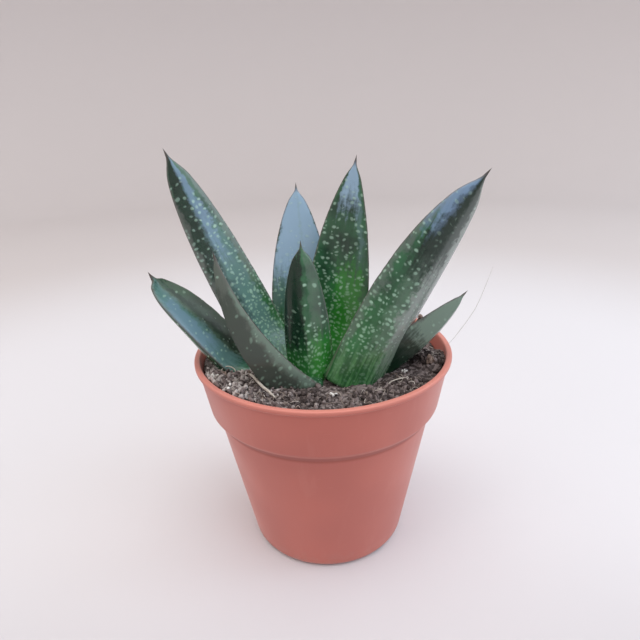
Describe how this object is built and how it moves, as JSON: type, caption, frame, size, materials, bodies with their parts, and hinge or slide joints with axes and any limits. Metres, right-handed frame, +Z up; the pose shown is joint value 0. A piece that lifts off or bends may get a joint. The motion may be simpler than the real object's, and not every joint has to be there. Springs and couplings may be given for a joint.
{
  "type": "potted succulent",
  "caption": "Young gasteria, a clump-forming succulent with thick spotted tongue-shaped leaves, in a round tapered plastic nursery pot filled with potting soil.",
  "frame": {"origin": "centre of the circle that the pot stands on, on the underside of the pot's middle pad", "axes": "+Z up along the pot's axis; -Y the plant's front, the side the picture is taken from; +X to the right seen from the front"},
  "size_m": [0.1013, 0.085, 0.135],
  "materials": {
    "pot_plastic": "thin moulded terracotta-coloured polypropylene with a satin outside and a slightly brighter lip",
    "potting_soil": null,
    "stem_tissue": null,
    "leaf_skin": null
  },
  "bodies": {
    "root": {"pot": "pot_plastic", "soil": "potting_soil", "stem": "stem_tissue", "leaf_heart": "leaf_skin", "leaf_upright": "leaf_skin", "leaf_back": "leaf_skin", "leaf_left": "leaf_skin", "leaf_right": "leaf_skin", "leaf_front_left": "leaf_skin", "leaf_low_right": "leaf_skin", "leaf_low_left": "leaf_skin", "leaf_low_back": "leaf_skin"}
  },
  "joints": []
}
